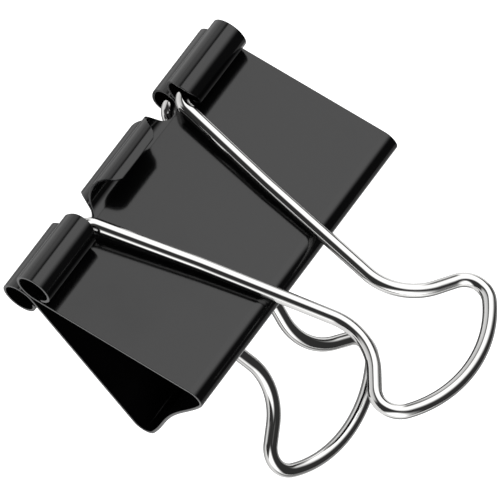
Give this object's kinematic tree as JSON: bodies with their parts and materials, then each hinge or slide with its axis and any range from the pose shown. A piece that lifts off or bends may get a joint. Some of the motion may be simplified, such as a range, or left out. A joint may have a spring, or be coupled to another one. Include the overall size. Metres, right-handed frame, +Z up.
{
  "type": "binder clip",
  "caption": "Large folded-steel binder clip with two wire handles that turn in tubes curled along its lips.",
  "frame": {"origin": "centre of the whole clip's box, on the plane half-way between the closed jaws", "axes": "+X along the width of the lips, +Y from the lips towards the spine and the handles' loops, +Z up through the upper jaw"},
  "size_m": [0.0508, 0.0588, 0.0564],
  "materials": {
    "enamel": "gloss black",
    "nickel_wire": "bright nickel plate"
  },
  "bodies": {
    "spine": {"spine": "enamel"},
    "upper_jaw": {"upper_jaw": "enamel"},
    "lower_jaw": {"lower_jaw": "enamel"},
    "upper_handle": {"upper_handle": "nickel_wire"},
    "lower_handle": {"lower_handle": "nickel_wire"}
  },
  "joints": [
    {"name": "upper_jaw_flex", "type": "hinge", "parent": "spine", "child": "upper_jaw", "pos_m": [0, 0.00143, 0.01255], "axis": [-1, 0, 0], "range_deg": [0, 26], "stiffness_Nm_per_rad": 0.5, "springref_deg": -20.05},
    {"name": "lower_jaw_flex", "type": "hinge", "parent": "spine", "child": "lower_jaw", "pos_m": [0, 0.00143, -0.01255], "axis": [1, 0, 0], "range_deg": [0, 26], "stiffness_Nm_per_rad": 0.5, "springref_deg": -20.05},
    {"name": "upper_handle_swing", "type": "hinge", "parent": "upper_jaw", "child": "upper_handle", "pos_m": [0, -0.02632, 0.00321], "axis": [1, 0, 0], "range_deg": [0, 157]},
    {"name": "lower_handle_swing", "type": "hinge", "parent": "lower_jaw", "child": "lower_handle", "pos_m": [0, -0.02632, -0.00321], "axis": [-1, 0, 0], "range_deg": [0, 157]}
  ],
  "couplings": [
    {"joint": "lower_jaw_flex", "follows": "upper_jaw_flex", "ratio": 1}
  ]
}
